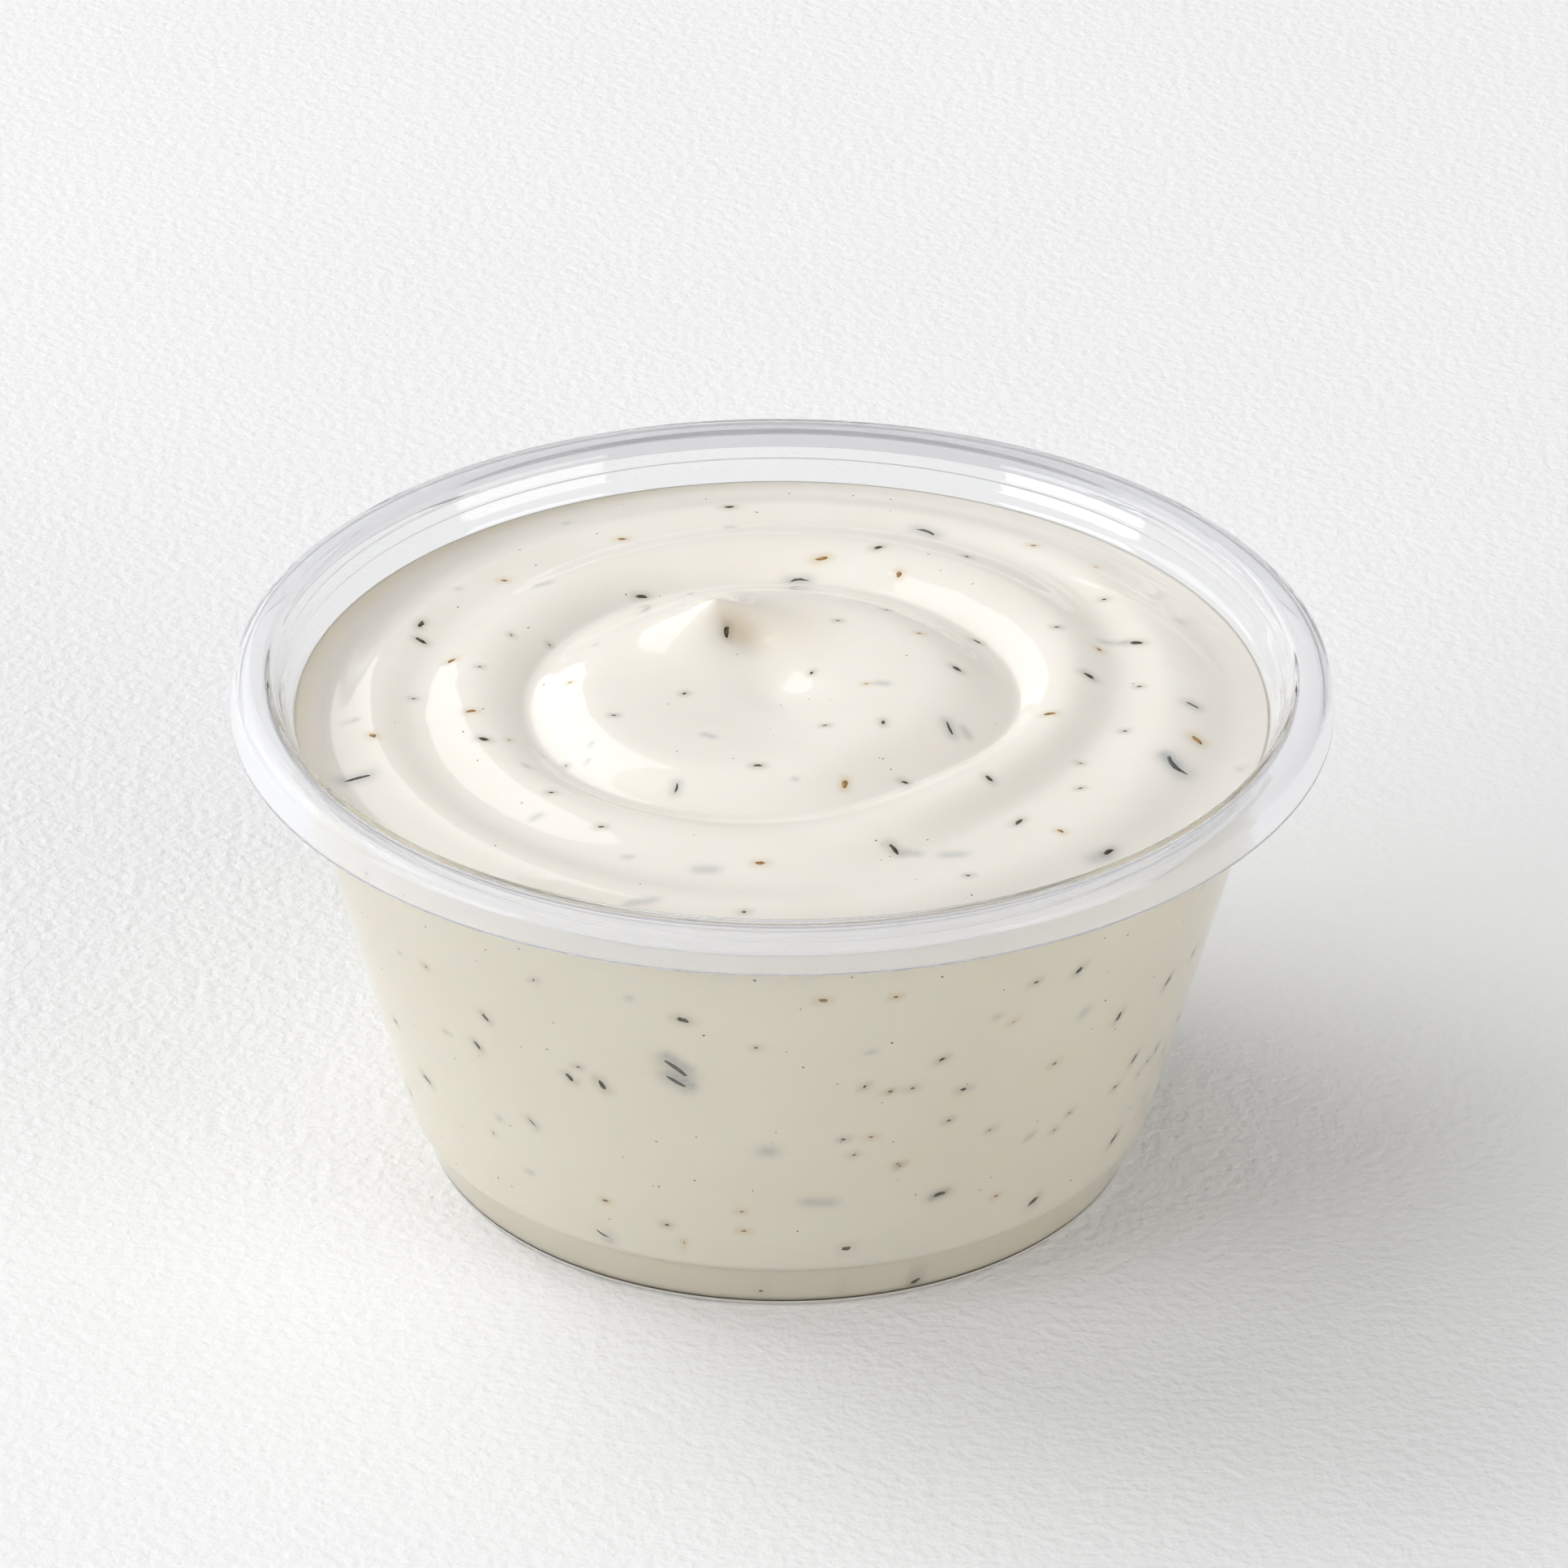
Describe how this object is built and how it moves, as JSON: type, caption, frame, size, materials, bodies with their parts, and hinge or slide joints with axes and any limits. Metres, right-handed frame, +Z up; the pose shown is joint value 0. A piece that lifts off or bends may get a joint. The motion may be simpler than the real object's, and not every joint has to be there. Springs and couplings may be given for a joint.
{
  "type": "portion cup of ranch dressing",
  "caption": "Clear tapered portion cup with a rolled rim, filled with a thick creamy herb dressing whose top is a spoon swirl with a soft peak.",
  "frame": {"origin": "centre of the cup's base, on the surface it stands on", "axes": "+Z up along the cup's axis, -Y to the front with the swirl's peak at the back left"},
  "size_m": [0.0748, 0.0748, 0.0362],
  "materials": {
    "clear_plastic": "clear, thin, glossy see-through plastic",
    "cream_dressing": "wet, thick off-white cream with herb and pepper flecks, soft sheen"
  },
  "bodies": {
    "root": {"cup": "clear_plastic", "dressing": "cream_dressing"}
  },
  "joints": []
}
